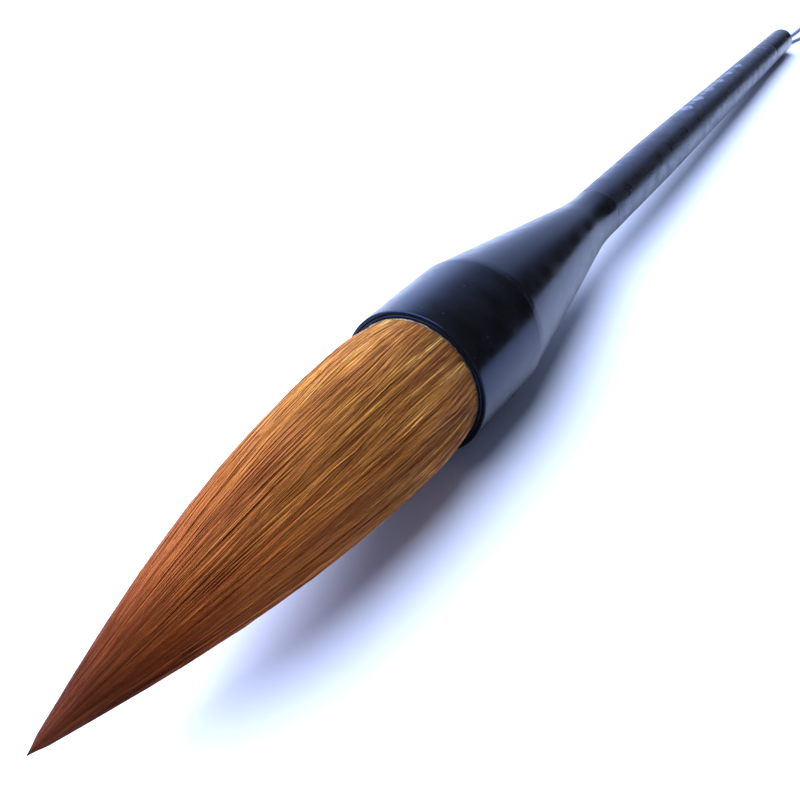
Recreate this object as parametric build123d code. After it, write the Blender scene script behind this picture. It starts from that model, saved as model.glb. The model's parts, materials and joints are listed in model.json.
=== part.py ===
from build123d import *
import math
import os

# A large writing brush that lies on a table: it rests on the widest ring of its ferrule and on its tail.
#
# Every piece is turned about the brush's axis. It is drawn first in the brush's own place, where y runs
# along the axis from the ferrule's mouth (y = 0) to the tail (+y) and the hair points to -y. The finished
# pieces are then tilted and moved together, so that the brush lies on the plane z = 0 with its tail
# towards +Y, and the origin is on that plane, under the middle of the brush's length.

# ---- driving dimensions, in millimetres ----

# hair: the outline is a formula of how far a point is ahead of the mouth
TIP_AHEAD = 63.1
OUTLINE_R = 9.95
OUTLINE_LENGTH = 63.8
OUTLINE_POWER = 2.1
OUTLINE_FULLNESS = 1.04
MOUTH_PINCH = 0.6
PINCH_REACH = 4.0

# hair: three layers, each thinning to its free end
COVER_LENGTH = 57.0
COVER_WALL = 2.6
BELLY_LENGTH = 42.0
BELLY_WALL = 2.6
END_WALL = 0.1
LAYER_GAP = 0.05

# hair: the tuft bends on a ball-shaped face of the root
HINGE_AHEAD = 9.0
BALL_R = 9.95
SOCKET_R = 10.15

# hair: the root inside the ferrule
ROOT_R = 9.3
ROOT_WAIST_R = 8.8
ROOT_END_Y = 14.0
THREAD_Y = 4.5
THREAD_D = 0.5
THREAD_TURNS = 9
THREAD_VALLEY = 0.5 * THREAD_D
THREAD_CREST = 0.9 * THREAD_D
RESIN_R = 8.9
RESIN_LENGTH = 2.5
RESIN_ROUND = 0.8

# ferrule: front collar and its liner
MOUTH_R = 10.5
FRONT_Y = -0.5
LIP_ROUND = 0.45
COLLAR_BORE_R = 9.95
COLLAR_BULGE = 0.05
BELT_Y = 16.4
BELT_R = 10.71
SEAM_CHAMFER = 0.1
LINER_R = 9.45
LINER_LENGTH = 9.0
LINER_ROUND = 0.15
SEAL_LENGTH = 1.2
SEAL_CREST = 0.25
SEAL_DIP = 0.05
SEAL_GAP = 0.01
GLUE_GAP = 0.03

# ferrule: cone and neck
SPIGOT_Y = 9.2
CAVITY_R = 9.1
CAVITY_Y = 19.0
CAVITY_END_R = 2.0
CAVITY_END_Y = 26.0
NECK_CORNER_Y = 58.4
NECK_Y = 63.4

# handle
SHAFT_R = 4.7
SHAFT_Y = 64.0
STRAIGHT_LENGTH = 33.7
CAP_Y = 196.5
CAP_R = 3.6
TAIL_R = 3.5
DOME_Y = 216.4
TAIL_Y = 219.2
DOME_MIDDLE_R = 2.8
DOME_MIDDLE_RISE = 1.55
DOWEL_R = 2.5
DOWEL_Y = 44.0
DOWEL_LENGTH = 40.0
DOWEL_CHAMFER = 0.4
TENON_R = 1.9
TENON_Y = 183.0
TENON_LENGTH = 21.5
TENON_CHAMFER = 0.3

# hanging cord
CORD_D = 0.9
CORD_HOLE_R = 1.25
HOLE_EDGE = 0.25
HOLE_EDGE_DEPTH = 0.15
KNOT_ROOM_R = 2.2
KNOT_ROOM_END_Y = 214.0
KNOT_R = 1.7
KNOT_Y = 206.0
KNOT_LENGTH = 4.5
KNOT_ROUND = 0.85

# The cord's route in the model's own place: out of the cap's hole, down to the table, round a loose loop
# and back into the hole. The arc at each corner takes up that share of the shorter run beside it.
CORD_ARC_SHARE = 0.45
CORD_LIE = CORD_D / 2
CORD_ROUTE = [
    (-0.5, 132.4, 3.71),
    (-0.6, 143.4, 3.32),
    (-1.5, 148.4, CORD_LIE),
    (-2.7, 155.4, CORD_LIE),
    (-3.6, 163.9, CORD_LIE),
    (-4.8, 173.4, CORD_LIE),
    (-5.0, 183.4, CORD_LIE),
    (-3.2, 191.9, CORD_LIE),
    (1.0, 196.4, CORD_LIE),
    (5.2, 192.9, CORD_LIE),
    (6.2, 184.4, CORD_LIE),
    (4.9, 174.9, CORD_LIE),
    (3.0, 164.9, CORD_LIE),
    (1.3, 156.4, CORD_LIE),
    (1.0, 149.7, CORD_LIE),
    (0.65, 143.7, 3.31),
    (0.5, 132.4, 3.71),
]

# inlaid marks: a row of lozenges with dots between them
INLAY_START_Y = 122.0
INLAY_PITCH = 8.86
INLAY_LOZENGES = 6
LOZENGE_LENGTH = 5.4
LOZENGE_WIDTH = 3.4
DOT_R = 0.7
INLAY_DEPTH = 0.3
INLAY_SUNK = 0.05
INLAY_GAP = 0.02
INLAY_ANGLE = 105.0

# how the brush lies: its belt and its tail touch the plane z = 0
TILT = math.degrees(math.atan2(BELT_R - TAIL_R, DOME_Y - BELT_Y))


# ---- helpers ----


def lathe(*edges):
    """A solid turned about the brush's axis from a closed outline, where x is the radius."""
    return revolve(make_face(Curve() + list(edges)), Axis.Y)


def turned(*points):
    """A solid turned from an outline of straight lines between (radius, y) points."""
    return revolve(make_face(Polyline(*points, close=True)), Axis.Y)


def rod(radius, start, end):
    return turned((0, start), (radius, start), (radius, end), (0, end))


def tube(inner, outer, start, end):
    return turned((inner, start), (outer, start), (outer, end), (inner, end))


def hair_radius(ahead):
    """Outer radius of the hair, this far ahead of the mouth."""
    full = OUTLINE_R * (1 - (ahead / OUTLINE_LENGTH) ** OUTLINE_POWER) ** OUTLINE_FULLNESS
    return full - MOUTH_PINCH * math.exp(-((ahead / PINCH_REACH) ** 2))


def wall(thickness, length, ahead):
    """Thickness of a layer of hair that thins evenly to its free end."""
    return max(thickness * (1 - ahead / length), 0) + END_WALL


def cover_inside(ahead):
    return hair_radius(ahead) - wall(COVER_WALL, COVER_LENGTH, ahead)


def belly_outside(ahead):
    return cover_inside(ahead) - LAYER_GAP


def belly_inside(ahead):
    return belly_outside(ahead) - wall(BELLY_WALL, BELLY_LENGTH, ahead)


def hair_line(radius_at, start, end, steps=12):
    """A smooth line towards the tip, through points of a radius formula."""
    aheads = [start + (end - start) * i / steps for i in range(steps + 1)]
    return Spline(*[(radius_at(ahead), -ahead) for ahead in aheads])


def hair_shell(outer, inner, length):
    """A layer of hair between two radius formulas, from the mouth to its free end."""
    outside = hair_line(outer, 0, length)
    inside = hair_line(inner, 0, length)
    return lathe(outside, Line(outside @ 1, inside @ 1), inside, Line(inside @ 0, outside @ 0))


def rounded_back(layer):
    """A layer of the tuft whose back is cut to the ball that it bends on."""
    centre = Location((0, -HINGE_AHEAD, 0))
    behind = rod(2 * BALL_R, -HINGE_AHEAD, HINGE_AHEAD)
    return layer - (behind - centre * Sphere(BALL_R))


# ---- the tuft, which bends ----


def make_cover_hair():
    return rounded_back(hair_shell(hair_radius, cover_inside, COVER_LENGTH))


def make_belly_hair():
    return rounded_back(hair_shell(belly_outside, belly_inside, BELLY_LENGTH))


def make_core_hair():
    """The longest hairs: they fill the belly layer, then the cover, and end in the tip."""

    def under_belly(ahead):
        return belly_inside(ahead) - LAYER_GAP

    def under_cover(ahead):
        return cover_inside(ahead) - LAYER_GAP

    def bare(ahead):
        return hair_radius(ahead) - END_WALL

    first = hair_line(under_belly, 0, BELLY_LENGTH + LAYER_GAP)
    second = hair_line(under_cover, BELLY_LENGTH + LAYER_GAP, COVER_LENGTH + LAYER_GAP, 6)
    third = hair_line(bare, COVER_LENGTH + LAYER_GAP, TIP_AHEAD, 4)
    root, tip = (0, 0), (0, -TIP_AHEAD)
    steps = [Line(first @ 1, second @ 0), Line(second @ 1, third @ 0)]
    ends = [Line(third @ 1, tip), Line(tip, root), Line(root, first @ 0)]
    return rounded_back(lathe(first, second, third, *steps, *ends))


# ---- the root of the hair, inside the ferrule ----


def make_hair_root():
    waist_end = THREAD_Y + THREAD_D * THREAD_TURNS
    outside = hair_line(hair_radius, HINGE_AHEAD, 0)
    inside_ferrule = Polyline(
        outside @ 1,
        (ROOT_R, FRONT_Y + SEAL_LENGTH),
        (ROOT_R, THREAD_Y - THREAD_D),
        (ROOT_WAIST_R, THREAD_Y),
        (ROOT_WAIST_R, waist_end),
        (RESIN_R, ROOT_END_Y),
        (0, ROOT_END_Y),
        (0, -HINGE_AHEAD),
        outside @ 0,
    )
    socket = Location((0, -HINGE_AHEAD, 0)) * Sphere(SOCKET_R)
    return lathe(outside, inside_ferrule) - socket


def make_root_thread():
    """Thread wound closely round the root, turn beside turn."""
    inner = ROOT_WAIST_R + GLUE_GAP
    edges = []
    for turn in range(THREAD_TURNS):
        start = THREAD_Y + turn * THREAD_D
        valley = inner + THREAD_VALLEY
        crest_point = (inner + THREAD_CREST, start + THREAD_D / 2)
        edges.append(ThreePointArc((valley, start), crest_point, (valley, start + THREAD_D)))
    end = THREAD_Y + THREAD_TURNS * THREAD_D
    back = Polyline(edges[-1] @ 1, (inner, end), (inner, THREAD_Y), edges[0] @ 0)
    return lathe(*edges, back)


def make_root_resin():
    start = ROOT_END_Y + GLUE_GAP
    disc = rod(RESIN_R, start, start + RESIN_LENGTH)
    return fillet(disc.edges().sort_by(Axis.Y)[-1], RESIN_ROUND)


def make_seal_glue():
    """The bead of glue between the hair and the liner, at the mouth."""
    hair = hair_radius(-FRONT_Y) + GLUE_GAP
    return turned(
        (hair, FRONT_Y - SEAL_CREST),
        (LINER_R - SEAL_GAP, FRONT_Y + SEAL_DIP),
        (LINER_R - SEAL_GAP, FRONT_Y + SEAL_LENGTH),
        (hair, FRONT_Y + SEAL_LENGTH),
    )


# ---- the ferrule ----


def make_mouth_liner():
    sleeve = tube(LINER_R, COLLAR_BORE_R - GLUE_GAP, FRONT_Y, FRONT_Y + LINER_LENGTH)
    rims = sleeve.edges().group_by(Axis.Y)[0]
    return fillet(rims, LINER_ROUND)


def make_collar():
    """The front ring: slightly barrel-shaped, with a rounded lip at the mouth."""
    lip_start = (MOUTH_R - LIP_ROUND, FRONT_Y)
    lip_middle = (MOUTH_R - LIP_ROUND * (1 - math.sqrt(0.5)), FRONT_Y + LIP_ROUND * (1 - math.sqrt(0.5)))
    side_start = (MOUTH_R, FRONT_Y + LIP_ROUND)
    side_end = (BELT_R, BELT_Y - SEAM_CHAMFER)
    side_middle = ((MOUTH_R + BELT_R) / 2 + COLLAR_BULGE, (FRONT_Y + BELT_Y) / 2)
    lip = ThreePointArc(lip_start, lip_middle, side_start)
    side = ThreePointArc(side_start, side_middle, side_end)
    rest = Polyline(
        side_end,
        (BELT_R - SEAM_CHAMFER, BELT_Y),
        (COLLAR_BORE_R, BELT_Y),
        (COLLAR_BORE_R, FRONT_Y + LINER_ROUND),
        (COLLAR_BORE_R + LINER_ROUND, FRONT_Y),
        lip_start,
    )
    return lathe(lip, side, rest)


def make_ferrule_cone():
    """The cone: a spigot inside the collar, a straight taper, and a short neck as wide as the shaft."""
    slope = math.atan2(BELT_R - SHAFT_R, NECK_CORNER_Y - BELT_Y)
    reach = NECK_Y - NECK_CORNER_Y
    bend_start = (SHAFT_R + reach * math.sin(slope), NECK_CORNER_Y - reach * math.cos(slope))
    bend_r = reach / math.tan(slope / 2)
    belt = BELT_Y + GLUE_GAP
    spigot_r = COLLAR_BORE_R - GLUE_GAP
    front = Polyline(
        (CAVITY_R, SPIGOT_Y),
        (spigot_r, SPIGOT_Y),
        (spigot_r, belt),
        (BELT_R - SEAM_CHAMFER, belt),
        (BELT_R - SEAM_CHAMFER * math.tan(slope), belt + SEAM_CHAMFER),
        bend_start,
    )
    bend = RadiusArc(bend_start, (SHAFT_R, NECK_Y), bend_r)
    inside = Polyline(
        (SHAFT_R, NECK_Y),
        (SHAFT_R, SHAFT_Y - SEAM_CHAMFER),
        (SHAFT_R - SEAM_CHAMFER, SHAFT_Y),
        (DOWEL_R + GLUE_GAP, SHAFT_Y),
        (DOWEL_R + GLUE_GAP, DOWEL_Y - GLUE_GAP),
        (0, DOWEL_Y - GLUE_GAP),
        (0, CAVITY_END_Y),
        (CAVITY_END_R, CAVITY_END_Y),
        (CAVITY_R, CAVITY_Y),
        (CAVITY_R, SPIGOT_Y),
    )
    return lathe(front, bend, inside)


def make_glue_bed():
    """Glue between the sealed root and the bottom of the cone."""
    start = ROOT_END_Y + RESIN_LENGTH + 2 * GLUE_GAP
    return turned(
        (0, start),
        (CAVITY_R - GLUE_GAP, start),
        (CAVITY_R - GLUE_GAP, CAVITY_Y - GLUE_GAP),
        (CAVITY_END_R - GLUE_GAP, CAVITY_END_Y - GLUE_GAP),
        (0, CAVITY_END_Y - GLUE_GAP),
    )


# ---- the handle ----


def shaft_blank(inset=0.0):
    """The shaft's outside, made smaller all round by inset."""
    taper_y = SHAFT_Y + STRAIGHT_LENGTH
    return turned(
        (0, SHAFT_Y + GLUE_GAP),
        (SHAFT_R - SEAM_CHAMFER - inset, SHAFT_Y + GLUE_GAP),
        (SHAFT_R - inset, SHAFT_Y + GLUE_GAP + SEAM_CHAMFER),
        (SHAFT_R - inset, taper_y),
        (CAP_R - inset, CAP_Y - SEAM_CHAMFER),
        (CAP_R - SEAM_CHAMFER - inset, CAP_Y),
        (0, CAP_Y),
    )


def inlay_prisms(gap=0.0):
    """Prisms through the shaft's skin where the marks are, made smaller all round by gap."""
    half_length, half_width = LOZENGE_LENGTH / 2 - gap, LOZENGE_WIDTH / 2 - gap
    lozenge = make_face(
        Polyline((0, -half_length), (half_width, 0), (0, half_length), (-half_width, 0), close=True)
    )
    lozenge_prism = extrude(lozenge, 2 * SHAFT_R)
    dot_prism = extrude(make_face(CenterArc((0, 0), DOT_R - gap, 0, 360)), 2 * SHAFT_R)
    prisms = []
    for i in range(INLAY_LOZENGES):
        y = INLAY_START_Y + i * INLAY_PITCH
        prisms.append(Location((0, y, 0)) * lozenge_prism)
        if i < INLAY_LOZENGES - 1:
            prisms.append(Location((0, y + INLAY_PITCH / 2, 0)) * dot_prism)
    return [prism.rotate(Axis.Y, 90 - INLAY_ANGLE) for prism in prisms]


def make_shaft():
    shaft = shaft_blank()
    skin = shaft - shaft_blank(INLAY_DEPTH)
    for prism in inlay_prisms():
        shaft -= skin & prism
    shaft -= rod(DOWEL_R + GLUE_GAP, SHAFT_Y, DOWEL_Y + DOWEL_LENGTH + GLUE_GAP)
    shaft -= rod(TENON_R + GLUE_GAP, TENON_Y - GLUE_GAP, CAP_Y)
    return shaft


def make_shaft_inlays():
    fill = shaft_blank(INLAY_SUNK) - shaft_blank(INLAY_DEPTH - INLAY_GAP)
    return Compound([fill & prism for prism in inlay_prisms(INLAY_GAP)])


def make_joining_dowel():
    dowel = rod(DOWEL_R, DOWEL_Y, DOWEL_Y + DOWEL_LENGTH)
    return chamfer(dowel.edges().filter_by(GeomType.CIRCLE), DOWEL_CHAMFER)


def make_cap_tenon():
    tenon = rod(TENON_R, TENON_Y, TENON_Y + TENON_LENGTH)
    return chamfer(tenon.edges().filter_by(GeomType.CIRCLE), TENON_CHAMFER)


def make_tail_cap():
    """The end of the handle: a slight taper, a low dome, and room inside for the cord's knot."""
    start = CAP_Y + GLUE_GAP
    hole_y = TAIL_Y - HOLE_EDGE_DEPTH
    dome_middle = (DOME_MIDDLE_R, DOME_Y + DOME_MIDDLE_RISE)
    dome = ThreePointArc((TAIL_R, DOME_Y), dome_middle, (CORD_HOLE_R + HOLE_EDGE, TAIL_Y))
    front = Polyline(
        (CORD_HOLE_R, hole_y),
        (CORD_HOLE_R, KNOT_ROOM_END_Y),
        (KNOT_ROOM_R, KNOT_ROOM_END_Y),
        (KNOT_ROOM_R, TENON_Y + TENON_LENGTH + GLUE_GAP),
        (TENON_R + GLUE_GAP, TENON_Y + TENON_LENGTH + GLUE_GAP),
        (TENON_R + GLUE_GAP, start),
        (CAP_R - SEAM_CHAMFER, start),
        (CAP_R, start + SEAM_CHAMFER),
        (TAIL_R, DOME_Y),
    )
    return lathe(front, dome, Line(dome @ 1, front @ 0))


# ---- the hanging cord ----


def make_cord_knot():
    knot = rod(KNOT_R, KNOT_Y, KNOT_Y + KNOT_LENGTH)
    return fillet(knot.edges().filter_by(GeomType.CIRCLE), KNOT_ROUND)


def make_hanging_cord():
    """A limp cord on its route: straight runs joined by arcs as large as the runs allow."""
    points = [Vector(*point) for point in CORD_ROUTE]
    radii = []
    for before, corner, after in zip(points, points[1:], points[2:]):
        half_turn = math.radians((corner - before).get_angle(after - corner)) / 2
        shorter_run = min((corner - before).length, (after - corner).length)
        radii.append(CORD_ARC_SHARE * shorter_run / math.tan(half_turn))
    path = FilletPolyline(*points, radius=radii)
    cord = sweep(Plane(origin=path @ 0, z_dir=path % 0) * Circle(CORD_D / 2), path)
    print("cord radii", [round(radius, 1) for radius in radii], "length", round(path.length, 1))
    print("cord volume", round(cord.volume, 2), "expected", round(path.length * math.pi * CORD_D**2 / 4, 2))
    return cord


PIECES = {
    "cover_hair": make_cover_hair,
    "belly_hair": make_belly_hair,
    "core_hair": make_core_hair,
    "hair_root": make_hair_root,
    "root_thread": make_root_thread,
    "root_resin": make_root_resin,
    "seal_glue": make_seal_glue,
    "mouth_liner": make_mouth_liner,
    "collar": make_collar,
    "ferrule_cone": make_ferrule_cone,
    "glue_bed": make_glue_bed,
    "shaft": make_shaft,
    "shaft_inlays": make_shaft_inlays,
    "joining_dowel": make_joining_dowel,
    "tail_cap": make_tail_cap,
    "cap_tenon": make_cap_tenon,
    "cord_knot": make_cord_knot,
}

made = {name: make().rotate(Axis.X, -TILT) for name, make in PIECES.items()}
box = Compound(list(made.values())).bounding_box()
to_origin = Location((0, -(box.min.Y + box.max.Y) / 2, -box.min.Z))

os.makedirs("parts", exist_ok=True)
for name, shape in made.items():
    export_step(to_origin * shape, f"parts/{name}.step")
export_step(make_hanging_cord(), "parts/hanging_cord.step")


def placed(y):
    """Where a point of the brush's axis is in the model."""
    point = Location((0, 0, 0), (-TILT, 0, 0)) * Location((0, y, 0))
    return (to_origin * point).position


print("tilt", round(TILT, 3), "tail", placed(TAIL_Y), "mouth", placed(0), "hinge", placed(-HINGE_AHEAD))
print("knot face", placed(KNOT_Y + KNOT_LENGTH), "shaft front", placed(SHAFT_Y), "box", box.size)
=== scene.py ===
import json
import math

import bpy
import numpy as np
from mathutils import Matrix, Vector


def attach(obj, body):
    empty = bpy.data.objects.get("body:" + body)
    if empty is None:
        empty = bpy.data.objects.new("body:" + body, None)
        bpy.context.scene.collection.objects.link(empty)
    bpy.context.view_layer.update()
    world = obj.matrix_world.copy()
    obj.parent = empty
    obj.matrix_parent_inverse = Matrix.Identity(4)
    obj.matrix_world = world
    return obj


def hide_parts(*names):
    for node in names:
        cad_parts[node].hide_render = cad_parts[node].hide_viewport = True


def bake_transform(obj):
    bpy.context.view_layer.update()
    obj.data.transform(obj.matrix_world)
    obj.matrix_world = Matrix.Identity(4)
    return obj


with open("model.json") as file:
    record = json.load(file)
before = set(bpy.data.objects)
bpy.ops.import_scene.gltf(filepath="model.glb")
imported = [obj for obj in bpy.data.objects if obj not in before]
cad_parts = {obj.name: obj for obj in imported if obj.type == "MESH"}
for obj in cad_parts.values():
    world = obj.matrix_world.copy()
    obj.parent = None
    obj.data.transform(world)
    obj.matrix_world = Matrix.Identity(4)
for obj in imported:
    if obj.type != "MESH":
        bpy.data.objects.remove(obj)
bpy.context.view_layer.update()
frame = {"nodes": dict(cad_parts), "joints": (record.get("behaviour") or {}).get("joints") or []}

MM = 0.001

# ---- the brush's own frame: y runs along its axis from the ferrule's mouth to the tail ----

HINGE_AHEAD = 9.0 * MM
bend = frame["joints"][0]
ACROSS = Vector((1, 0, 0))
RISE = Vector(bend["axis"]).normalized()
TO_TAIL = RISE.cross(ACROSS)
MOUTH = Vector(bend["pos_m"]) + HINGE_AHEAD * TO_TAIL
PLACE = Matrix.Translation(MOUTH) @ Matrix((ACROSS, TO_TAIL, RISE)).transposed().to_4x4()

# ---- sizes, as in the CAD ----

TIP_AHEAD = 63.1 * MM
OUTLINE_R = 9.95 * MM
OUTLINE_LENGTH = 63.8 * MM
OUTLINE_POWER = 2.1
OUTLINE_FULLNESS = 1.04
MOUTH_PINCH = 0.6 * MM
PINCH_REACH = 4.0 * MM

MOUTH_R = 10.5 * MM
FRONT_Y = -0.5 * MM
BELT_Y = 16.4 * MM
BELT_R = 10.71 * MM
COLLAR_BORE_R = 9.95 * MM
LINER_R = 9.45 * MM
NECK_CORNER_Y = 58.4 * MM
NECK_Y = 63.4 * MM
SHAFT_R = 4.7 * MM
SHAFT_Y = 64.0 * MM
TAPER_Y = 97.7 * MM
CAP_Y = 196.5 * MM
CAP_R = 3.6 * MM
TAIL_R = 3.5 * MM
DOME_Y = 216.4 * MM
TAIL_Y = 219.2 * MM
CORD_HOLE_R = 1.25 * MM
HOLE_EDGE = 0.25 * MM
DOWEL_HOLE_R = 2.53 * MM
TENON_HOLE_R = 1.93 * MM
TENON_END_Y = 204.53 * MM
KNOT_ROOM_R = 2.2 * MM
KNOT_ROOM_END_Y = 214.0 * MM
CORD_D = 0.9 * MM

CAVITY_R = 9.1 * MM
CAVITY_Y = 19.0 * MM
CAVITY_END_Y = 26.0 * MM
LINER_LENGTH = 9.0 * MM
LINER_ROUND = 0.15 * MM
GLUE_GAP = 0.03 * MM
SEAM = 0.1 * MM

INLAY_START_Y = 122.0 * MM
INLAY_STEP = 4.43 * MM
INLAYS = 11
LOZENGE_LENGTH = 5.4 * MM
LOZENGE_WIDTH = 3.4 * MM
DOT_R = 0.7 * MM
INLAY_ANGLE = math.radians(105)

SEGMENTS = 256


# ---- the camera, at the photograph's viewing angle ----

CAMERA_AZIMUTH = math.radians(31.15)
CAMERA_ELEVATION = math.radians(37.05)
CAMERA_DISTANCE = 117.64 * MM
CAMERA_LEFT = 1.99 * MM
CAMERA_DOWN = 2.23 * MM
SENSOR_WIDTH_MM = 36.0
FOCAL_LENGTH_MM = 40.5


def make_camera():
    """Looks down at the mouth from close by, so the brush runs away from it to the upper right."""
    back = Vector((
        math.sin(CAMERA_AZIMUTH) * math.cos(CAMERA_ELEVATION),
        -math.cos(CAMERA_AZIMUTH) * math.cos(CAMERA_ELEVATION),
        math.sin(CAMERA_ELEVATION),
    ))
    across = Vector((math.cos(CAMERA_AZIMUTH), math.sin(CAMERA_AZIMUTH), 0))
    up = back.cross(across)
    lens = bpy.data.cameras.new("camera")
    lens.sensor_width = SENSOR_WIDTH_MM
    lens.lens = FOCAL_LENGTH_MM
    lens.clip_start = 5 * MM
    camera = bpy.data.objects.new("camera", lens)
    camera.matrix_world = Matrix((across, up, back)).transposed().to_4x4()
    camera.location = MOUTH - CAMERA_LEFT * across - CAMERA_DOWN * up + CAMERA_DISTANCE * back
    bpy.context.scene.collection.objects.link(camera)
    bpy.context.scene.camera = camera


make_camera()


# ---- mesh helpers ----


def new_mesh(name, points, faces, smooth_angle=35):
    """A mesh object from points in the row frame, with sharp edges where faces meet at a wide angle."""
    mesh = bpy.data.meshes.new(name)
    mesh.from_pydata(np.asarray(points).tolist(), [], faces)
    mesh.polygons.foreach_set("use_smooth", [True] * len(mesh.polygons))
    mesh.set_sharp_from_angle(angle=math.radians(smooth_angle))
    mesh.update()
    piece = bpy.data.objects.new(name, mesh)
    bpy.context.scene.collection.objects.link(piece)
    return piece


def in_place(points):
    """Points of the brush's own frame, moved to the row frame."""
    matrix = np.array(PLACE)
    return np.asarray(points) @ matrix[:3, :3].T + matrix[:3, 3]


def lathe(name, outline):
    """A turned piece from a closed outline of (radius, y) points."""
    rows = len(outline)
    turns = np.linspace(0, 2 * math.pi, SEGMENTS, endpoint=False)
    radius, along = np.array(outline).T
    points = np.stack(
        [np.outer(radius, np.cos(turns)), np.tile(along[:, None], (1, SEGMENTS)),
         np.outer(radius, np.sin(turns))], axis=-1
    ).reshape(-1, 3)
    faces = []
    for row in range(rows):
        low, high = row * SEGMENTS, (row + 1) % rows * SEGMENTS
        for k in range(SEGMENTS):
            after = (k + 1) % SEGMENTS
            faces.append((low + k, high + k, high + after, low + after))
    return new_mesh(name, in_place(points), faces)


def arc(centre, radius, start, end, steps=8):
    """(radius, y) points along a round stretch; angles in degrees from the outward direction towards +y."""
    turns = [math.radians(start + (end - start) * i / steps) for i in range(steps + 1)]
    return [(centre[0] + radius * math.cos(a), centre[1] + radius * math.sin(a)) for a in turns]


def bulged(start, end, bulge, steps=24):
    """(radius, y) points from start to end, bulging outwards by that much in the middle."""
    shares = [i / steps for i in range(steps + 1)]
    return [
        (start[0] + (end[0] - start[0]) * s + 4 * bulge * s * (1 - s), start[1] + (end[1] - start[1]) * s)
        for s in shares
    ]


# ---- the hanging cord ----

CORD_LIE = CORD_D / 2 / MM
# In mm, as in the CAD but with the loop moved to the right, so that it leaves the camera's view.
CORD_ROUTE = [
    (-0.5, 132.4, 3.71),
    (-0.6, 143.4, 3.32),
    (-0.8, 148.4, CORD_LIE),
    (-0.5, 155.4, CORD_LIE),
    (0.2, 163.9, CORD_LIE),
    (0.7, 173.4, CORD_LIE),
    (1.2, 182.4, CORD_LIE),
    (2.2, 190.4, CORD_LIE),
    (4.6, 195.2, CORD_LIE),
    (7.8, 195.0, CORD_LIE),
    (9.4, 190.0, CORD_LIE),
    (8.8, 182.4, CORD_LIE),
    (7.5, 174.9, CORD_LIE),
    (5.3, 164.9, CORD_LIE),
    (2.5, 156.4, CORD_LIE),
    (1.2, 149.7, CORD_LIE),
    (0.65, 143.7, 3.31),
    (0.5, 132.4, 3.71),
]


def route_line(route):
    """The smooth line that a NURBS spline draws through a route, as an array of points in metres."""
    curve = bpy.data.curves.new("route", "CURVE")
    curve.dimensions = "3D"
    curve.resolution_u = 24
    spline = curve.splines.new("NURBS")
    spline.points.add(len(route) - 1)
    for point, place in zip(spline.points, route):
        point.co = (*(coordinate * MM for coordinate in place), 1)
    spline.order_u = 3
    spline.use_endpoint_u = True
    bare = bpy.data.objects.new("route", curve)
    mesh = bpy.data.meshes.new_from_object(bare)
    line = np.array([vertex.co for vertex in mesh.vertices])
    bpy.data.meshes.remove(mesh)
    bpy.data.curves.remove(curve)
    return line


def evenly(line, step):
    """The same line with points evenly spaced, about step apart, and the distance of each along it."""
    along = np.concatenate([[0], np.cumsum(np.linalg.norm(np.diff(line, axis=0), axis=1))])
    at = np.linspace(0, along[-1], int(along[-1] / step) + 1)
    return np.stack([np.interp(at, along, line[:, axis]) for axis in range(3)], axis=1), at


def carried_frames(line):
    """Two directions across a line at each of its points, carried along it without twisting."""
    tangent = np.gradient(line, axis=0)
    tangent /= np.linalg.norm(tangent, axis=1)[:, None]
    side = np.cross(tangent[0], (0, 0, 1))
    sides = []
    for direction in tangent:
        side = side - (side @ direction) * direction
        side = side / np.linalg.norm(side)
        sides.append(side)
    sides = np.array(sides)
    return sides, np.cross(tangent, sides)


def tube_faces(stations, sides, first=0):
    """Quads of an open tube whose rings follow each other in the list of points."""
    station, side = np.meshgrid(np.arange(stations - 1), np.arange(sides), indexing="ij")
    low, after = first + station * sides, (side + 1) % sides
    quads = np.stack([low + side, low + sides + side, low + sides + after, low + after], axis=-1)
    return quads.reshape(-1, 4)


def make_cord():
    """Three strands twisted round each other."""
    strands, ring, lay = 3, 8, 1.9 * MM
    line, along = evenly(route_line(CORD_ROUTE), 0.16 * MM)
    side, other = carried_frames(line)
    strand_r = CORD_D * 0.235
    offset = CORD_D / 2 - strand_r
    points, faces = [], []
    for strand in range(strands):
        turn = 2 * math.pi * (along / lay + strand / strands)
        out = np.cos(turn)[:, None] * side + np.sin(turn)[:, None] * other
        around = -np.sin(turn)[:, None] * side + np.cos(turn)[:, None] * other
        middle = line + offset * out
        rings = [
            middle + strand_r * (math.cos(a) * out + math.sin(a) * around)
            for a in np.linspace(0, 2 * math.pi, ring, endpoint=False)
        ]
        faces += tube_faces(len(line), ring, len(line) * ring * strand).tolist()
        points.append(np.stack(rings, axis=1).reshape(-1, 3))
    cord = new_mesh("cord_strands", np.concatenate(points), faces, 80)
    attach(cord, "brush")
    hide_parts("hanging_cord")
    return cord


cord = make_cord()


# ---- materials ----


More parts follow.
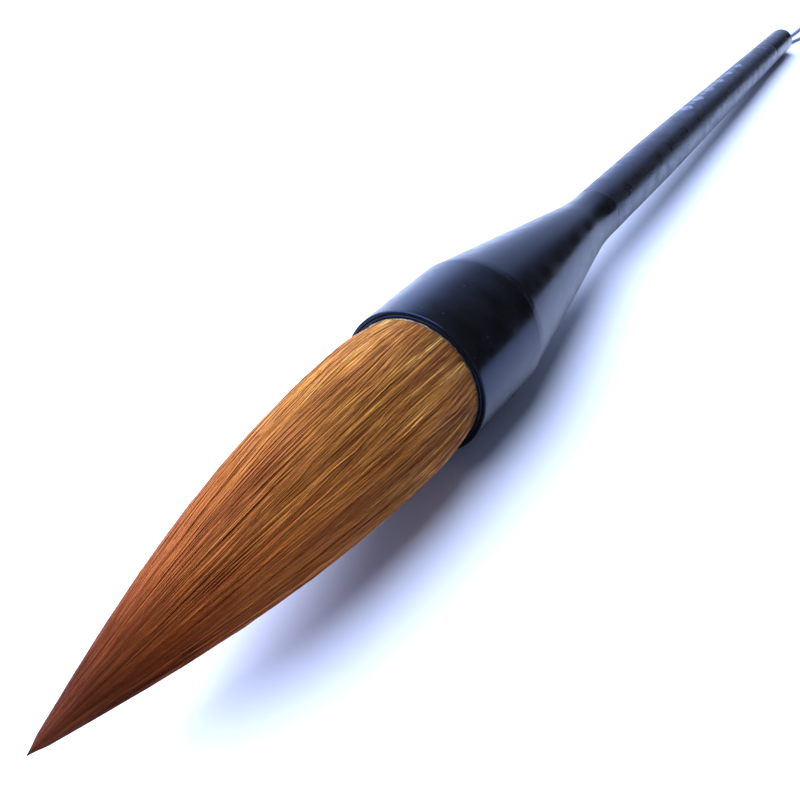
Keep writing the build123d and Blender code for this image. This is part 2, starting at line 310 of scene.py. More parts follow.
class Material:
    """A material made of nodes, with short calls for the few kinds of node used here."""

    def __init__(self, name):
        self.material = bpy.data.materials.new(name)
        self.material.use_nodes = True
        self.tree = self.material.node_tree
        self.shader = self.tree.nodes["Principled BSDF"]
        self.place = self.add("ShaderNodeTexCoord").outputs["Object"]

    def add(self, kind, **settings):
        node = self.tree.nodes.new(kind)
        for key, value in settings.items():
            setattr(node, key, value)
        return node

    def link(self, value, socket):
        if isinstance(value, bpy.types.NodeSocket):
            self.tree.links.new(value, socket)
        else:
            socket.default_value = value

    def set(self, **values):
        """Values for the shader's sockets, with underscores for the spaces in their names."""
        for key, value in values.items():
            self.link(value, self.shader.inputs[key.replace("_", " ")])

    def scaled(self, scale, source=None):
        """The place, in units of which scale fit in a metre along each axis."""
        mapping = self.add("ShaderNodeMapping")
        self.link(source or self.place, mapping.inputs["Vector"])
        mapping.inputs["Scale"].default_value = scale
        return mapping.outputs["Vector"]

    def noise(self, scale, detail=4.0, roughness=0.55, distortion=0.0, source=None):
        noise = self.add("ShaderNodeTexNoise")
        self.link(self.scaled(scale, source), noise.inputs["Vector"])
        noise.inputs["Scale"].default_value = 1.0
        noise.inputs["Detail"].default_value = detail
        noise.inputs["Roughness"].default_value = roughness
        noise.inputs["Distortion"].default_value = distortion
        return noise.outputs["Fac"]

    def attribute(self, name):
        return self.add("ShaderNodeAttribute", attribute_name=name).outputs["Fac"]

    def ramp(self, value, *stops):
        """Colours or grey levels at places from 0 to 1, as (place, colour) pairs."""
        node = self.add("ShaderNodeValToRGB")
        self.link(value, node.inputs["Fac"])
        elements = node.color_ramp.elements
        while len(elements) < len(stops):
            elements.new(0.5)
        for element, (place, colour) in zip(elements, stops):
            element.position = place
            level = colour if hasattr(colour, "__len__") else (colour,) * 3
            element.color = (*level, 1)
        return node.outputs["Color"]

    def mix(self, share, first, second, blend_type="MIX"):
        node = self.add("ShaderNodeMix", data_type="RGBA", blend_type=blend_type)
        self.link(share, node.inputs[0])
        for value, socket in ((first, node.inputs[6]), (second, node.inputs[7])):
            self.link(value if isinstance(value, bpy.types.NodeSocket) else (*value, 1), socket)
        return node.outputs[2]

    def math(self, operation, first, second=0.0):
        node = self.add("ShaderNodeMath", operation=operation)
        self.link(first, node.inputs[0])
        self.link(second, node.inputs[1])
        return node.outputs[0]

    def bump(self, height, depth, strength=1.0, normal=None):
        """Bump from a height from 0 to 1 that stands for that many metres."""
        node = self.add("ShaderNodeBump")
        node.inputs["Strength"].default_value = strength
        node.inputs["Distance"].default_value = depth
        self.link(height, node.inputs["Height"])
        if normal:
            self.link(normal, node.inputs["Normal"])
        return node.outputs["Normal"]

    def dust(self, per_mm, size):
        """1 on sparse small specks of dust and 0 elsewhere."""
        cells = self.add("ShaderNodeTexVoronoi")
        cells.inputs["Scale"].default_value = 1.0
        self.link(self.scaled((per_mm / MM,) * 3), cells.inputs["Vector"])
        near = self.math("LESS_THAN", cells.outputs["Distance"], size)
        chosen = self.math("GREATER_THAN", self.noise((per_mm / MM,) * 3, 0), 0.56)
        return self.math("MULTIPLY", near, chosen)


def paint(piece, material):
    piece.data.materials.clear()
    piece.data.materials.append(material)


def polished(name, colour, grain_scale, roughness, grain_depth, ior):
    """Polished horn or lacquer: nearly black, with polishing marks, a soft uneven gloss and some dust."""
    m = Material(name)
    cloudy = m.noise((300, 300, 300), 3)
    marks = m.noise(grain_scale, 6, 0.6)
    specks = m.dust(0.8, 0.05)
    tone = m.mix(m.ramp(cloudy, (0.3, 0.0), (0.7, 1.0)), colour, tuple(c * 1.6 for c in colour))
    facing = m.add("ShaderNodeLayerWeight").outputs["Facing"]
    gloss = m.math("ADD", m.ramp(cloudy, (0.3, roughness), (0.75, roughness * 1.9)),
                   m.math("MULTIPLY", specks, 0.3))
    m.set(
        Base_Color=m.mix(specks, tone, (0.05, 0.055, 0.06)),
        Roughness=m.math("ADD", gloss, m.ramp(facing, (0.6, 0.0), (0.9, 0.06))),
        IOR=ior,
        Specular_Tint=(0.5, 0.87, 1.8, 1),
        Normal=m.bump(specks, 0.02 * MM, 0.6, m.bump(marks, grain_depth)),
    )
    return m.material


HORN = polished("black_horn", (0.0042, 0.0042, 0.0042), (500, 2600, 500), 0.13, 0.0016 * MM, 1.26)
LACQUER = polished("black_lacquer", (0.009, 0.0082, 0.0082), (500, 150, 500), 0.22, 0.0006 * MM, 1.38)


# ---- ferrule, shaft and cap ----


def stand_for(piece, node, material):
    """Makes a piece ride on the brush's rigid body in place of a CAD node."""
    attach(piece, "brush")
    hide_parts(node)
    paint(piece, material)


def make_collar():
    """The ring round the mouth, with a rounded lip and slightly bulging sides."""
    lip, edge = 0.2 * MM, 0.12 * MM
    outline = arc((MOUTH_R - lip, FRONT_Y + lip), lip, -90, 0, 10)
    outline += bulged((MOUTH_R, FRONT_Y + lip), (BELT_R, BELT_Y - SEAM), 0.05 * MM)[1:]
    outline += arc((BELT_R - SEAM, BELT_Y - SEAM), SEAM, 0, 90, 4)[1:]
    outline += [(COLLAR_BORE_R, BELT_Y), (COLLAR_BORE_R, FRONT_Y + edge)]
    outline += arc((COLLAR_BORE_R + edge, FRONT_Y + edge), edge, 180, 270, 5)[1:]
    collar = lathe("collar_ring", outline)
    stand_for(collar, "collar", HORN)


def make_liner():
    """The sleeve inside the collar, whose rounded front edge shows as a second ring."""
    outer = COLLAR_BORE_R - GLUE_GAP
    outline = arc((LINER_R + LINER_ROUND, FRONT_Y + LINER_ROUND), LINER_ROUND, 180, 270, 6)
    outline += arc((outer - LINER_ROUND, FRONT_Y + LINER_ROUND), LINER_ROUND, -90, 0, 6)
    outline += [(outer, FRONT_Y + LINER_LENGTH), (LINER_R, FRONT_Y + LINER_LENGTH)]
    liner = lathe("liner_ring", outline)
    stand_for(liner, "mouth_liner", HORN)


def make_cone():
    """The cone behind the collar, which runs into a short neck; hollow for the root and the dowel."""
    slope = math.atan2(BELT_R - SHAFT_R, NECK_CORNER_Y - BELT_Y)
    reach = NECK_Y - NECK_CORNER_Y
    bend_r = reach / math.tan(slope / 2)
    start = BELT_Y + GLUE_GAP
    outline = [(CAVITY_R, start), (BELT_R - 1.6 * SEAM, start)]
    outline += arc((BELT_R - 2 * SEAM, start + SEAM), SEAM, -80, 8, 5)
    bend_points = arc((SHAFT_R + bend_r, NECK_Y), bend_r, 180 + math.degrees(slope), 180, 24)
    outline += bulged(outline[-1], bend_points[0], 0.03 * MM, 40)[1:-1] + bend_points
    outline += arc((SHAFT_R - SEAM, SHAFT_Y - SEAM), SEAM, 0, 90, 4)
    outline += [(DOWEL_HOLE_R, SHAFT_Y), (DOWEL_HOLE_R, CAVITY_END_Y), (CAVITY_R, CAVITY_Y)]
    cone = lathe("ferrule_cone_skin", outline)
    stand_for(cone, "ferrule_cone", HORN)


def make_cap():
    """The domed tail cap, hollow for the tenon, the knot and the cord."""
    start = CAP_Y + GLUE_GAP
    outline = [(TENON_HOLE_R, start)]
    outline += arc((CAP_R - SEAM, start + SEAM), SEAM, -90, 0, 4)
    outline += bulged((CAP_R, start + SEAM), (TAIL_R, DOME_Y), 0.04 * MM)[1:]
    dome_rise = TAIL_Y - DOME_Y
    hole_edge = CORD_HOLE_R + HOLE_EDGE
    steps = 14
    for i in range(1, steps + 1):
        turn = i / steps * math.acos(hole_edge / TAIL_R)
        outline.append((TAIL_R * math.cos(turn), DOME_Y + dome_rise * math.sin(turn)))
    top = outline[-1][1]
    outline += arc((hole_edge, top - HOLE_EDGE), HOLE_EDGE, 80, 180, 6)
    outline += [(CORD_HOLE_R, KNOT_ROOM_END_Y), (KNOT_ROOM_R, KNOT_ROOM_END_Y)]
    outline += [(KNOT_ROOM_R, TENON_END_Y), (TENON_HOLE_R, TENON_END_Y)]
    cap = lathe("tail_cap_skin", outline)
    stand_for(cap, "tail_cap", HORN)


def shaft_radius(y):
    """Outer radius of the shaft, which tapers from behind its straight stretch to the cap."""
    return np.interp(y, [TAPER_Y, CAP_Y], [SHAFT_R, CAP_R])


def make_shaft():
    """The handle: straight behind the cone, then tapering to the cap; bored for the dowel."""
    start = SHAFT_Y + GLUE_GAP
    outline = [(DOWEL_HOLE_R, start)]
    outline += arc((SHAFT_R - SEAM, start + SEAM), SEAM, -90, 0, 4)
    outline += [(float(shaft_radius(y)), y) for y in np.linspace(start + 2 * SEAM, CAP_Y - SEAM, 60)]
    outline += arc((CAP_R - SEAM, CAP_Y - SEAM), SEAM, 10, 90, 4)
    outline += [(TENON_HOLE_R, CAP_Y)]
    shaft = lathe("shaft_skin", outline)
    stand_for(shaft, "shaft", LACQUER)


def plate_faces(first, corners, rings):
    """Faces of a plate whose two sides are rings of corners round a middle point, listed from outside in."""
    below = rings * corners + 1
    faces = []
    for k in range(corners):
        after = (k + 1) % corners
        for side, flip in ((0, 1), (below, -1)):
            for ring in range(rings - 1):
                low = first + side + ring * corners
                faces.append((low + k, low + after, low + corners + after, low + corners + k)[::flip])
            low = first + side + (rings - 1) * corners
            faces.append((low + k, low + after, first + side + rings * corners)[::flip])
        faces.append((first + k, first + below + k, first + below + after, first + after))
    return faces


def make_inlays():
    """Thin curved plates let into the shaft: lozenges in a row, with a dot between neighbours."""
    corners, rings, thickness, proud = 32, 5, 0.2 * MM, 0.006 * MM
    around = np.linspace(0, 2 * math.pi, corners, endpoint=False)
    half_width, half_length = LOZENGE_WIDTH / 2, LOZENGE_LENGTH / 2
    lozenge = 1 / (np.abs(np.cos(around)) / half_width + np.abs(np.sin(around)) / half_length)
    dot = np.full(corners, DOT_R)
    points, faces = [], []
    for place in range(INLAYS):
        y = INLAY_START_Y + INLAY_STEP * place
        reach = dot if place % 2 else lozenge
        first = sum(len(part) for part in points)
        for sunk in (0.0, thickness):
            for ring in range(rings, 0, -1):
                across = reach * np.cos(around) * ring / rings
                along = reach * np.sin(around) * ring / rings
                turn = INLAY_ANGLE - across / SHAFT_R
                radius = shaft_radius(y + along) + proud - sunk
                points.append(np.stack([radius * np.cos(turn), y + along, radius * np.sin(turn)], axis=1))
            radius = float(shaft_radius(y)) + proud - sunk
            points.append(np.array([(radius * math.cos(INLAY_ANGLE), y, radius * math.sin(INLAY_ANGLE))]))
        faces += plate_faces(first, corners, rings)
    m = Material("pale_inlay")
    worn = m.noise((700, 700, 700), 5, 0.65)
    m.set(
        Base_Color=m.ramp(worn, (0.35, (0.03, 0.033, 0.045)), (0.6, (0.13, 0.145, 0.19))),
        Roughness=m.ramp(worn, (0.3, 0.5), (0.7, 0.35)),
        Normal=m.bump(worn, 0.02 * MM, 0.5),
    )
    marks = new_mesh("shaft_marks", in_place(np.concatenate(points)), faces, 60)
    stand_for(marks, "shaft_inlays", m.material)


make_collar()
make_liner()
make_cone()
make_shaft()
make_inlays()
make_cap()


# ---- the hair ----

rng = np.random.default_rng(7)

ROOT_AHEAD = -1.2 * MM
HAIR_END = TIP_AHEAD - 0.05 * MM
POINT_LENGTH = 1.6 * MM
DROOP_FROM = 24 * MM
DROOP = 0.9 * MM
STRAND_R = 0.075 * MM
RELIEF = 0.16 * MM
LAY_FROM = 2 * MM
LAY_FULL = 16 * MM

# The root inside the mouth, from its back end: (y, radius) in mm, with a waist where the thread is wound.
ROOT_PROFILE = [(14.0, 8.85), (9.5, 8.78), (9.0, 8.78), (4.5, 8.78), (4.0, 9.28), (1.2, 9.28)]


def hair_radius(ahead):
    """Outer radius of the hair, this far ahead of the mouth."""
    share = np.clip(ahead / OUTLINE_LENGTH, 0, 1)
    full = OUTLINE_R * (1 - share**OUTLINE_POWER) ** OUTLINE_FULLNESS
    point = np.sqrt(np.clip((TIP_AHEAD - ahead) / POINT_LENGTH, 0, 1))
    return (full - MOUTH_PINCH * np.exp(-((ahead / PINCH_REACH) ** 2))) * point


def smooth_step(value, start, end):
    """From 0 at start to 1 at end, level at both."""
    share = np.clip((value - start) / (end - start), 0, 1)
    return share * share * (3 - 2 * share)


# Waves that push neighbouring hairs together and apart on their way to the tip: the number of waves round
# the tuft, how strongly they bunch the hair, and how fast they wander sideways, in radians per millimetre.
BUNCHES = [
    (int(count), strength / count, rng.uniform(0, 2 * math.pi), wander * rng.choice((-1, 1)))
    for count, strength, wander in zip(
        np.geomspace(5, 110, 18), np.linspace(0.16, 0.27, 18), np.geomspace(0.03, 0.42, 18)
    )
]


def bunched(turn, ahead):
    """Where a hair that leaves the mouth at an angle lies round the tuft, further ahead."""
    push = np.zeros(np.broadcast(turn, ahead).shape)
    for count, strength, phase, wander in BUNCHES:
        push = push + strength * np.sin(count * turn + phase + wander * ahead / MM)
    return turn + push * smooth_step(ahead, LAY_FROM, LAY_FULL)


def crowding(turn, ahead):
    """How closely hairs are bunched at a place: above 0 where they crowd, below 0 where they part."""
    slope = np.zeros(np.broadcast(turn, ahead).shape)
    for count, strength, phase, wander in BUNCHES:
        slope = slope + strength * count * np.cos(count * turn + phase + wander * ahead / MM)
    return -slope * smooth_step(ahead, LAY_FROM, LAY_FULL)


def tuft_point(turn, ahead, radius):
    """Points of the brush's own frame, from an angle, a distance ahead of the mouth and a radius."""
    droop = DROOP * np.clip((ahead - DROOP_FROM) / (HAIR_END - DROOP_FROM), 0, 1) ** 1.6
    across = radius * np.cos(turn)
    above = radius * np.sin(turn) - droop
    return np.stack([across, -ahead * np.ones_like(turn), above], axis=-1)


def set_hair_data(piece, turn, ahead, tone):
    """Gives each vertex its hair's angle at the mouth, place along the hair and tone, for its colour; the
    tone also carries painted shade.
    """
    lay = np.stack([np.cos(turn), np.sin(turn), ahead / HAIR_END], axis=-1)
    for name, kind, field, values in (
        ("lay", "FLOAT_VECTOR", "vector", lay),
        ("tone", "FLOAT", "value", tone),
    ):
        attribute = piece.data.attributes.new(name, kind, "POINT")
        attribute.data.foreach_set(field, values.astype(np.float32).ravel())


def make_bundle():
    """The body of the tuft: a closed skin of ridges, with the hair's bunches as relief."""
    columns, rows, ridges = 720, 128, 180
    root_y, root_r = np.array(ROOT_PROFILE).T * MM
    share = np.linspace(0, 1, rows)
    outside = HAIR_END * (share + 0.12 * np.sin(math.pi * share) / math.pi)
    ahead = np.concatenate([-root_y, outside])
    turn = np.linspace(0, 2 * math.pi, columns, endpoint=False)
    turn_grid, ahead_grid = np.meshgrid(turn, ahead)
    placed = bunched(turn_grid, ahead_grid)
    radius = np.concatenate([root_r, hair_radius(outside)])
    heights = rng.uniform(-1, 1, ridges)[(turn * ridges / (2 * math.pi)).astype(int) % ridges]
    ridge = np.abs(np.sin(turn * ridges / 2))[None, :] * 0.55 + 0.2 * heights[None, :]
    lift = ridge + 0.35 * crowding(turn_grid, ahead_grid)
    fade = smooth_step(ahead, 0, 4 * MM) * np.clip(radius / (5 * MM), 0, 1)
    radius_grid = np.maximum(radius[:, None] + (lift - 1.25) * RELIEF * fade[:, None], 0.02 * MM)
    points = tuft_point(placed, ahead_grid, radius_grid).reshape(-1, 3)
    faces = tube_faces(len(ahead), columns).tolist()
    tip, root = len(points), len(points) + 1
    last = (len(ahead) - 1) * columns
    for k in range(columns):
        after = (k + 1) % columns
        faces.append((last + k, tip, last + after))
        faces.append((k, after, root))
    ends = [(0, -TIP_AHEAD, -DROOP), (0, root_y[0], 0)]
    bundle = new_mesh("tuft_bundle", in_place(np.concatenate([points, ends])), faces, 180)
    # Painted shade: the bundle's tone is lower on its lower ridges and near the mouth, where it shows in the
    # gaps under the single hairs.
    painted_shade_near_mouth = 0.25 * (1 - smooth_step(ahead, 4 * MM, 30 * MM))[:, None]
    tone = (0.5 + 0.25 * heights[None, :] - painted_shade_near_mouth).ravel()
    set_hair_data(
        bundle, np.append(turn_grid.ravel(), (0, 0)), np.append(ahead_grid.ravel(), (HAIR_END, 0)),
        np.append(tone, (0.5, 0.5))
    )
    return bundle


def make_strands(name, count, thickness, depth, lift, blond):
    """Single hairs on the tuft: thin closed tubes that follow the bunches and dive under at their ends."""
    stations, sides = 16, 3
    share = np.linspace(0, 1, stations)[None, :] ** 1.25
    order = (np.arange(count) + rng.uniform(0, 1, count)) / count
    start_turn = (2 * math.pi * order)[:, None]
    to_the_tip = rng.random(count) < 0.45
    reach = np.where(to_the_tip, rng.uniform(0.9, 0.998, count), rng.uniform(0.25, 0.92, count))
    end = HAIR_END * reach[:, None]
    ahead = ROOT_AHEAD + (end - ROOT_AHEAD) * share
    astray = np.where(rng.random(count) < 0.2, 0.045, 0.014)
    stray = (rng.normal(0, 1, count) * astray)[:, None] * smooth_step(ahead, 0, end)
    wave_size = rng.normal(0, 0.009, count)[:, None]
    wave_pace = rng.uniform(0.15, 0.5, count)[:, None]
    wave_start = rng.uniform(0, 2 * math.pi, count)[:, None]
    wave = wave_size * np.sin(wave_pace * ahead / MM + wave_start)
    turn = bunched(start_turn, ahead) + stray + wave * smooth_step(ahead, ROOT_AHEAD, LAY_FULL)
    outline = hair_radius(ahead)
    slim = np.clip(outline / (6 * MM), 0.1, 1)
    fine = rng.uniform(0.65, 1.3, count)[:, None] * thickness
    width = fine * slim * (1 - 0.75 * smooth_step(ahead, 0.7 * end, end))
    level = rng.uniform(0, 1, count)[:, None]
    rise = (depth + (lift - depth) * level) * STRAND_R
    rise = rise + 0.5 * STRAND_R * np.sin(0.4 * ahead / MM + rng.uniform(0, 2 * math.pi, count)[:, None])
    dive = RELIEF * smooth_step(ahead, 0.82 * end, end)
    crowd = 0.3 * crowding(start_turn, ahead) * RELIEF
    radius = np.maximum(outline + (rise + crowd) * slim - width * 0.6 - dive * slim, 0.01 * MM)
    radius -= 0.09 * MM * (1 - smooth_step(ahead, ROOT_AHEAD, 2 * MM))
    line = tuft_point(turn, ahead, radius)
    out = np.stack([np.cos(turn), np.zeros_like(turn), np.sin(turn)], axis=-1)
    along = np.gradient(line, axis=1)
    along /= np.linalg.norm(along, axis=2)[..., None]
    side = np.cross(out, along)
    twist = rng.uniform(0, 2 * math.pi, count)[:, None, None]
    rings = [
        line + width[..., None] * (np.cos(a + twist) * side + np.sin(a + twist) * out)
        for a in np.linspace(0, 2 * math.pi, sides, endpoint=False)
    ]
    points = np.stack(rings, axis=2).reshape(-1, 3)
    tube = tube_faces(stations, sides)
    step = stations * sides
    starts = np.arange(count)[:, None, None] * step
    faces = (tube[None] + starts).reshape(-1, 4).tolist()
    for first in range(0, count * step, step):
        faces.append((first + 2, first + 1, first))
        faces.append((first + step - 3, first + step - 2, first + step - 1))
    strands = new_mesh(name, in_place(points), faces, 180)
    # Painted shade: strands that lie deeper in the tuft get a lower tone, so they look darker.
    tone = rng.normal(0.36, 0.17, count) + 0.3 * level[:, 0] + 0.4 * (rng.random(count) < blond)
    spread = np.ones((1, stations, sides))
    own_turn = start_turn + rng.normal(0, 0.03, count)[:, None]
    set_hair_data(strands, (own_turn[..., None] * spread).ravel(), (ahead[..., None] * spread).ravel(),
                  (np.clip(tone, 0, 1.1)[:, None, None] * spread).ravel())
    return strands


def hair_material():
    """Weasel hair: golden brown in long uneven streaks and darker red-brown to the tip, with painted shade
    in the gaps and painted light and shade by side.
    """
    m = Material("weasel_hair")
    lay = m.add("ShaderNodeAttribute", attribute_name="lay").outputs["Vector"]
    tone = m.attribute("tone")
    split = m.add("ShaderNodeSeparateXYZ")
    m.link(lay, split.inputs[0])
    ahead = split.outputs["Z"]
    broad = m.noise((4, 4, 1.6), 2, 0.5, 0.0, lay)
    locks = m.noise((19, 19, 4.0), 3, 0.55, 0.4, lay)
    streaks = m.noise((60, 60, 9.0), 4, 0.6, 0.3, lay)
    fine = m.noise((130, 130, 16.0), 2, 0.6, 0.0, lay)
    sharpness = m.ramp(ahead, (0.0, 1.0), (0.16, 0.62), (0.36, 0.22), (0.75, 0.15), (1.0, 0.12))
    detail = m.math("MULTIPLY", m.math("SUBTRACT", tone, 0.5), 0.65)
    coarse = 0.5
    for noise, share in ((streaks, 1.1), (fine, 0.7)):
        detail = m.math("ADD", detail, m.math("MULTIPLY", m.math("SUBTRACT", noise, 0.5), share))
    for noise, share in ((broad, 0.6), (locks, 0.8)):
        coarse = m.math("ADD", m.math("MULTIPLY", m.math("SUBTRACT", noise, 0.5), share), coarse)
    level = m.math("ADD", m.math("MULTIPLY", detail, sharpness), coarse)
    colour = m.ramp(
        level,
        (0.0, (0.046, 0.011, 0.0035)),
        (0.28, (0.185, 0.051, 0.0105)),
        (0.5, (0.41, 0.147, 0.0235)),
        (0.74, (0.68, 0.31, 0.05)),
        (1.0, (0.95, 0.65, 0.15)),
    )
    darker = m.ramp(
        ahead, (0.0, 0.8), (0.08, 0.9), (0.2, 1.0), (0.5, 1.0), (0.72, 0.76), (0.9, 0.4), (1.0, 0.27)
    )
    tint = m.ramp(
        ahead,
        (0.0, (1, 0.93, 1.2)),
        (0.3, (1, 0.95, 0.95)),
        (0.6, (1, 0.72, 0.7)),
        (0.8, (1, 0.52, 0.47)),
        (0.92, (1, 0.48, 0.72)),
        (1.0, (1, 0.46, 0.8)),
    )
    # Painted light and shade: the colour is scaled by where the hair lies round the tuft. It is full on the
    # right side (+X), lower elsewhere, and lowest part way round from the right side, for fill light from
    # the right.
    side = m.math("ADD", m.math("MULTIPLY", split.outputs["X"], 0.5), 0.5)
    painted_side_light = m.ramp(side, (0.3, 0.83), (0.5, 0.83), (0.65, 0.7), (0.8, 0.7), (0.93, 1.0))
    for layer in (darker, tint, painted_side_light):
        colour = m.mix(1.0, colour, layer, "MULTIPLY")
    m.set(
        Base_Color=colour,
        Roughness=m.ramp(fine, (0.3, 0.42), (0.7, 0.6)),
        IOR=1.45,
        Specular_IOR_Level=0.2,
        Specular_Tint=(1.0, 0.62, 0.35, 1),
        Normal=m.bump(m.math("MULTIPLY", streaks, sharpness), 0.06 * MM, 0.6, m.bump(fine, 0.015 * MM, 0.4)),
    )
    return m.material


def make_tuft():
    """The bundle and two layers of single hairs, all with the hair material."""
    bundle = make_bundle()
    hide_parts("cover_hair", "belly_hair", "core_hair", "hair_root")
    hairs = make_strands("tuft_hairs", 2100, STRAND_R, depth=-3.0, lift=0.2, blond=0.03)
    top_hairs = make_strands("tuft_top_hairs", 1500, 0.8 * STRAND_R, depth=-1.2, lift=0.9, blond=0.09)
    material = hair_material()
    for piece in (bundle, hairs, top_hairs):
        paint(piece, material)
        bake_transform(piece)


make_tuft()


# ---- the bead of glue, and materials for the cord and for the CAD pieces that are kept ----


# The bead's outline as (radius, y) in mm. Beyond UNEVEN_Y it is uneven, and so is its outer side.
BEAD = [(9.42, 0.0), (9.46, -0.46), (9.46, -0.56), (9.42, -0.64), (9.36, -0.66), (9.28, -0.60), (9.25, 0.0)]
UNEVEN_Y = -0.4
OUTER_SIDE_R = 9.4


def make_glue_line():
    """The uneven bead of dried glue between the hair and the liner, darker away from the light."""
    turns = np.linspace(0, 2 * math.pi, SEGMENTS * 2, endpoint=False)
    wobble = sum(
        rng.normal(0, 0.3) * np.sin(count * turns + rng.uniform(0, 2 * math.pi)) for count in range(5, 60, 4)
    )
    uneven = np.clip(0.05 * wobble, -0.12, 0.1)
    points = []
    for radius, along in BEAD:
        proud = uneven * (along < UNEVEN_Y)
        outwards = 0.4 if radius > OUTER_SIDE_R else 0.0
        y = (along + proud) * MM
        out = (radius + outwards * proud) * MM
        points.append(np.stack([out * np.cos(turns), y, out * np.sin(turns)], axis=-1))
    count = len(turns)
    faces = tube_faces(len(BEAD), count).tolist()
    last = (len(BEAD) - 1) * count
    faces += [(last + k, k, (k + 1) % count, last + (k + 1) % count) for k in range(count)]
    m = Material("dried_glue")
    patches = m.noise((900, 900, 900), 5, 0.6)
    parts = m.add("ShaderNodeSeparateXYZ")
    m.link(m.place, parts.inputs[0])
    across = m.math("ADD", m.math("MULTIPLY", parts.outputs["X"], 0.5 / LINER_R), 0.5)
    colour = m.ramp(
        patches, (0.42, (0.03, 0.025, 0.016)), (0.52, (0.22, 0.18, 0.10)), (0.66, (0.46, 0.40, 0.26))
    )
    m.set(
        Base_Color=m.mix(1.0, colour, m.ramp(across, (0.45, 1.0), (0.8, 0.12)), "MULTIPLY"),
        Roughness=m.ramp(patches, (0.3, 0.35), (0.7, 0.6)),
        Normal=m.bump(patches, 0.04 * MM, 0.8),
    )
    bead = new_mesh("glue_line", in_place(np.concatenate(points)), faces, 60)
    stand_for(bead, "seal_glue", m.material)
    return m.material


def cord_material():
    m = Material("cord_fibre")
    fuzz = m.noise((2500, 2500, 2500), 4, 0.7)
    m.set(
        Base_Color=m.ramp(fuzz, (0.3, (0.10, 0.115, 0.17)), (0.7, (0.22, 0.25, 0.36))),
        Roughness=0.7,
        Sheen_Weight=0.3,
        Normal=m.bump(fuzz, 0.03 * MM, 0.8),
    )
    return m.material


def thread_material():
    m = Material("binding_thread")
    fibre = m.noise((6000, 600, 6000), 4, 0.6)
    m.set(Base_Color=m.ramp(fibre, (0.3, (0.25, 0.2, 0.13)), (0.7, (0.5, 0.43, 0.3))),
          Roughness=0.75, Normal=m.bump(fibre, 0.02 * MM, 0.8))
    return m.material


def resin_material():
    m = Material("root_resin")
    cloudy = m.noise((600, 600, 600), 4)
    m.set(Base_Color=m.ramp(cloudy, (0.3, (0.16, 0.07, 0.02)), (0.7, (0.3, 0.16, 0.05))),
          Roughness=m.ramp(cloudy, (0.3, 0.2), (0.7, 0.4)))
    return m.material


def wood_material():
    m = Material("bare_wood")
    grain = m.noise((1500, 60, 1500), 5, 0.6, 0.6)
    m.set(Base_Color=m.ramp(grain, (0.3, (0.28, 0.17, 0.08)), (0.7, (0.5, 0.34, 0.18))),
          Roughness=0.6, Normal=m.bump(grain, 0.05 * MM, 0.5))
    return m.material


glue = make_glue_line()
paint(cord, cord_material())
for node, material in (
    ("glue_bed", glue),
    ("cord_knot", cord.data.materials[0]),
    ("root_thread", thread_material()),
    ("root_resin", resin_material()),
    ("joining_dowel", wood_material()),
    ("cap_tenon", wood_material()),
):
    paint(frame["nodes"][node], material)


# ---- floor and light ----

FLOOR_HALF = 3.0
LIGHT_DISTANCE = 1.0
WINDOW_HALF_ANGLE = math.radians(38)
WINDOW_POWER = 41.0
WINDOW_COLOUR = (0.84, 1.0, 1.5)
FILL_SIZE = 1.3
FILL_POWER = 1.0
FILL_COLOUR = (0.85, 1.0, 1.7)
ROOM_COLOUR = (0.77, 1.0, 1.75)
ROOM_STRENGTH = 1.95
BACKDROP_COLOUR = (0.95, 0.97, 1.0)

# How bright the room is, as (place, level) pairs: from left (-1) to right (1), and from the horizon (0) up.
ROOM_ACROSS = [
    (-1.0, 1.0), (-0.64, 0.95), (-0.45, 0.66), (-0.28, 0.46), (-0.07, 0.34), (0.035, 0.17), (0.12, 0.05),
    (0.21, 0.0),
]
ROOM_ABOVE = [(0.0, 1.0), (0.30, 1.0), (0.45, 0.7), (0.56, 0.35), (0.66, 0.0)]


def direction(azimuth, elevation):
    """A unit vector: azimuth in degrees from +Y towards +X, elevation in degrees above the floor."""
    a, e = math.radians(azimuth), math.radians(elevation)
    return Vector((math.sin(a) * math.cos(e), math.cos(a) * math.cos(e), math.sin(e)))


def make_floor():
    """A plain pale floor that glows far away, where the lights don't reach."""
    corners = [(-1, -1), (1, -1), (1, 1), (-1, 1)]
    floor = new_mesh("floor", [(x * FLOOR_HALF, y * FLOOR_HALF, 0) for x, y in corners], [(0, 1, 2, 3)])
    m = Material("floor")
    away = m.add("ShaderNodeVectorMath", operation="LENGTH")
    m.link(m.place, away.inputs[0])
    share = m.math("MULTIPLY", away.outputs["Value"], 1 / FLOOR_HALF)
    m.set(
        Base_Color=(0.8, 0.8, 0.8, 1),
        Roughness=0.6,
        Specular_IOR_Level=0.2,
        Emission_Color=m.ramp(share, (0.15, 0.0), (0.5, 1.0)),
        Emission_Strength=1.0,
    )
    paint(floor, m.material)


def soft_light(name, size, power, colour, towards):
    """A round light in a direction from the brush, turned to it."""
    light = bpy.data.lights.new(name, "AREA")
    light.shape = "DISK"
    light.size = size
    light.energy = power
    light.color = colour
    lamp = bpy.data.objects.new(name, light)
    lamp.location = LIGHT_DISTANCE * towards
    lamp.rotation_euler = (-towards).to_track_quat("-Z", "Y").to_euler()
    bpy.context.scene.collection.objects.link(lamp)
    return lamp


def make_window():
    """The main light: a large round soft window to the left of the camera, high up."""
    size = 2 * LIGHT_DISTANCE * math.tan(WINDOW_HALF_ANGLE)
    soft_light("window", size, WINDOW_POWER, WINDOW_COLOUR, direction(-112, 58))


def make_fill():
    """A weak light from the right, which softens the shadows but doesn't show in the gloss."""
    fill = soft_light("fill", FILL_SIZE, FILL_POWER, FILL_COLOUR, direction(95, 50))
    fill.visible_glossy = False


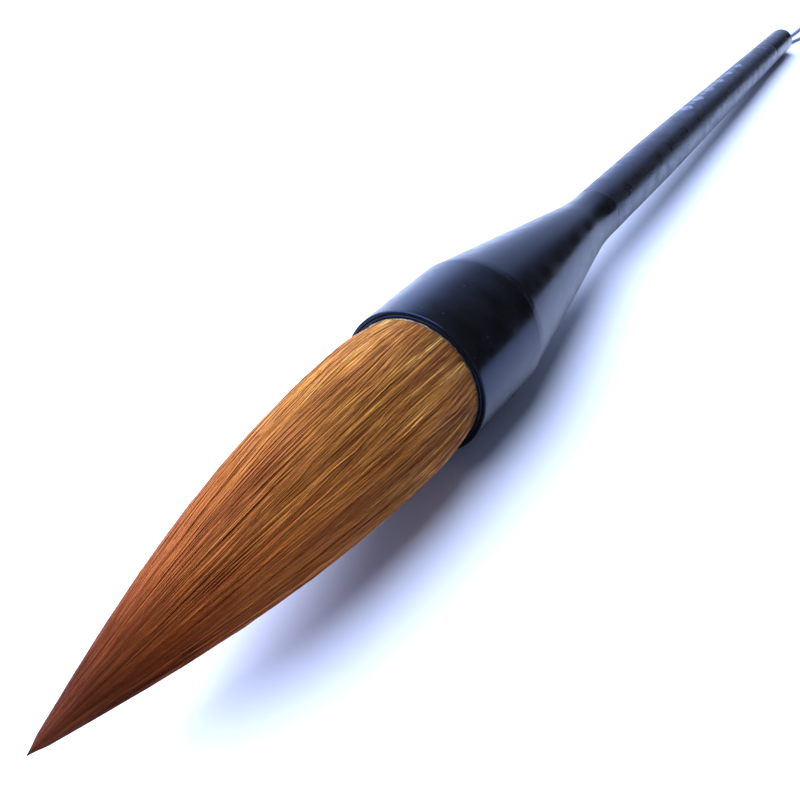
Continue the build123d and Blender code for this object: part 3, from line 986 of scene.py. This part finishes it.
def make_room():
    """Pale on the left and dark on the right, for a black band in the gloss. The camera sees a backdrop."""
    world = bpy.data.worlds.new("room")
    world.use_nodes = True
    bpy.context.scene.world = world
    tree = world.node_tree
    towards = tree.nodes.new("ShaderNodeTexCoord")
    parts = tree.nodes.new("ShaderNodeSeparateXYZ")
    tree.links.new(towards.outputs["Generated"], parts.inputs[0])

    def levels(source, stops):
        scale = tree.nodes.new("ShaderNodeMapRange")
        scale.inputs["From Min"].default_value = -1
        tree.links.new(source, scale.inputs["Value"])
        node = tree.nodes.new("ShaderNodeValToRGB")
        tree.links.new(scale.outputs["Result"], node.inputs["Fac"])
        elements = node.color_ramp.elements
        while len(elements) < len(stops):
            elements.new(0.5)
        for element, (place, level) in zip(elements, stops):
            element.position = (place + 1) / 2
            element.color = (level, level, level, 1)
        return node.outputs["Color"]

    def product(first, second):
        node = tree.nodes.new("ShaderNodeMix")
        node.data_type = "RGBA"
        node.blend_type = "MULTIPLY"
        node.inputs[0].default_value = 1.0
        tree.links.new(first, node.inputs[6])
        if isinstance(second, bpy.types.NodeSocket):
            tree.links.new(second, node.inputs[7])
        else:
            node.inputs[7].default_value = (*second, 1)
        return node.outputs[2]

    grey = product(levels(parts.outputs["X"], ROOM_ACROSS), levels(parts.outputs["Z"], ROOM_ABOVE))
    room = tree.nodes["Background"]
    tree.links.new(product(grey, ROOM_COLOUR), room.inputs["Color"])
    room.inputs["Strength"].default_value = ROOM_STRENGTH
    backdrop = tree.nodes.new("ShaderNodeBackground")
    backdrop.inputs["Color"].default_value = (*BACKDROP_COLOUR, 1)
    seen = tree.nodes.new("ShaderNodeLightPath").outputs["Is Camera Ray"]
    either = tree.nodes.new("ShaderNodeMixShader")
    for value, socket in zip((seen, room.outputs[0], backdrop.outputs[0]), either.inputs):
        tree.links.new(value, socket)
    tree.links.new(either.outputs[0], tree.nodes["World Output"].inputs["Surface"])


make_floor()
make_window()
make_fill()
make_room()
bpy.context.scene.view_settings.view_transform = "Standard"
